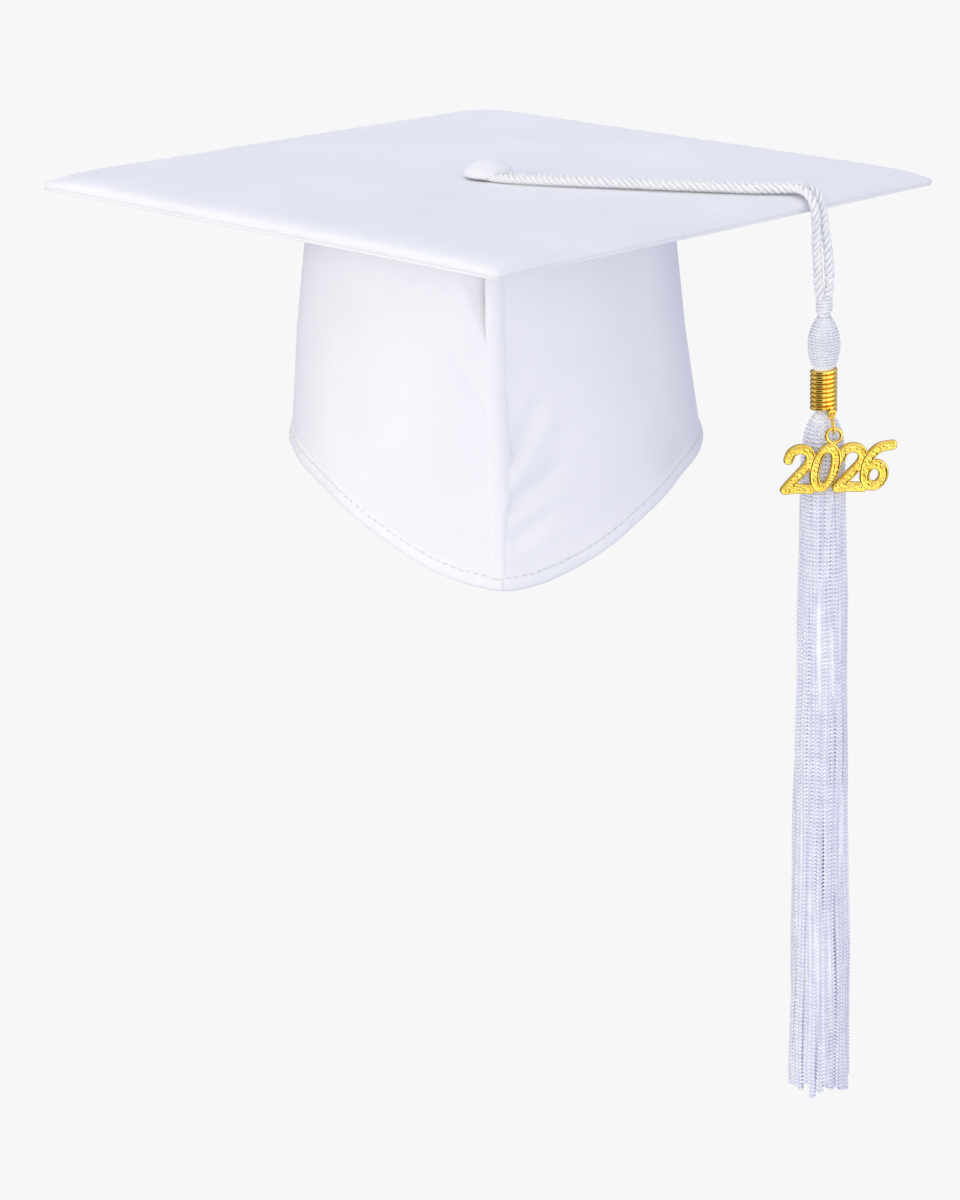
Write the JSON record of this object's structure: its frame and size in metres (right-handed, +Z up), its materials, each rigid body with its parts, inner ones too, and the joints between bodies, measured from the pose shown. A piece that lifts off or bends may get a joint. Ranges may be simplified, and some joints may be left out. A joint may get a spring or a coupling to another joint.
{
  "type": "graduation cap",
  "caption": "White academic cap: a padded square board on a pointed cloth crown, with a corded tassel that swings from the board's edge and carries a gold sleeve and a numeral charm.",
  "frame": {"origin": "middle of the crown's inner ceiling, where the head touches it", "axes": "+Z up through the button; -Y to the front, where the crown has its peak and the board a corner; +X to the wearer's left, the side the tassel hangs on"},
  "size_m": [0.3372, 0.3372, 0.3696],
  "materials": {
    "cap_cloth": "fine matt polyester weave, white with a cool tint",
    "cord_yarn": "three-ply twisted rayon cord, soft sheen",
    "tassel_yarn": "chainette rayon yarn, soft sheen",
    "gold_plate": "bright gold plating",
    "pin_metal": "plain pressed steel",
    "board_stuff": "dense board",
    "foam": "soft wadding",
    "elastic": "woven elastic"
  },
  "bodies": {
    "cap": {"crown_plate": "board_stuff", "crown_flange": "cap_cloth", "crown_panel_left": "cap_cloth", "crown_panel_right": "cap_cloth", "crown_panel_back": "cap_cloth", "front_seam_strip": "cap_cloth", "crown_stiffener": "board_stuff", "elastic_band": "elastic", "hem_binding": "cap_cloth", "board_cover_bottom": "cap_cloth", "board_core": "board_stuff", "board_pad": "foam", "board_cover_top": "cap_cloth", "button_pin": "pin_metal", "button_shell": "pin_metal", "button_cover": "cap_cloth", "button_washer": "pin_metal"},
    "tassel_loop": {"cord_loop": "cord_yarn"},
    "tassel_drop": {"cord_drop_right": "cord_yarn", "cord_drop_left": "cord_yarn"},
    "tassel": {"neck_knot": "cord_yarn", "tassel_head": "tassel_yarn", "skirt_core": "tassel_yarn", "skirt_strand_01": "tassel_yarn", "skirt_strand_02": "tassel_yarn", "skirt_strand_03": "tassel_yarn", "skirt_strand_04": "tassel_yarn", "skirt_strand_05": "tassel_yarn", "skirt_strand_06": "tassel_yarn", "skirt_strand_07": "tassel_yarn", "skirt_strand_08": "tassel_yarn", "skirt_strand_09": "tassel_yarn", "skirt_strand_10": "tassel_yarn", "skirt_strand_11": "tassel_yarn", "skirt_strand_12": "tassel_yarn", "skirt_strand_13": "tassel_yarn", "skirt_strand_14": "tassel_yarn"},
    "sleeve": {"coil_sleeve": "gold_plate"},
    "link": {"charm_link": "gold_plate"},
    "charm": {"year_charm": "gold_plate"}
  },
  "joints": [
    {"name": "tassel_turn", "type": "hinge", "parent": "cap", "child": "tassel_loop", "pos_m": [0, 0, 0.0114], "axis": [0, 0, 1], "range_deg": [-36, 0]},
    {"name": "tassel_swing", "type": "hinge", "parent": "tassel_loop", "child": "tassel_drop", "pos_m": [0.12, -0.0574, -0.0004], "axis": [-0.7071, -0.7071, 0], "range_deg": [0, 90]},
    {"name": "tassel_sway", "type": "hinge", "parent": "tassel_drop", "child": "tassel", "pos_m": [0.122, -0.0593, -0.027], "axis": [0.7071, -0.7071, 0], "range_deg": [-25, 25]},
    {"name": "sleeve_turn", "type": "hinge", "parent": "tassel", "child": "sleeve", "pos_m": [0.122, -0.0593, -0.027], "axis": [-0.0209, 0, 0.9998], "range_deg": [-90, 90]},
    {"name": "link_swing", "type": "hinge", "parent": "sleeve", "child": "link", "pos_m": [0.12519, -0.06624, -0.07129], "axis": [-0.9508, -0.309, -0.0199], "range_deg": [0, 45]},
    {"name": "charm_rock", "type": "hinge", "parent": "link", "child": "charm", "pos_m": [0.12565, -0.0692, -0.07733], "axis": [0, 1, 0], "range_deg": [-30, 30]}
  ]
}
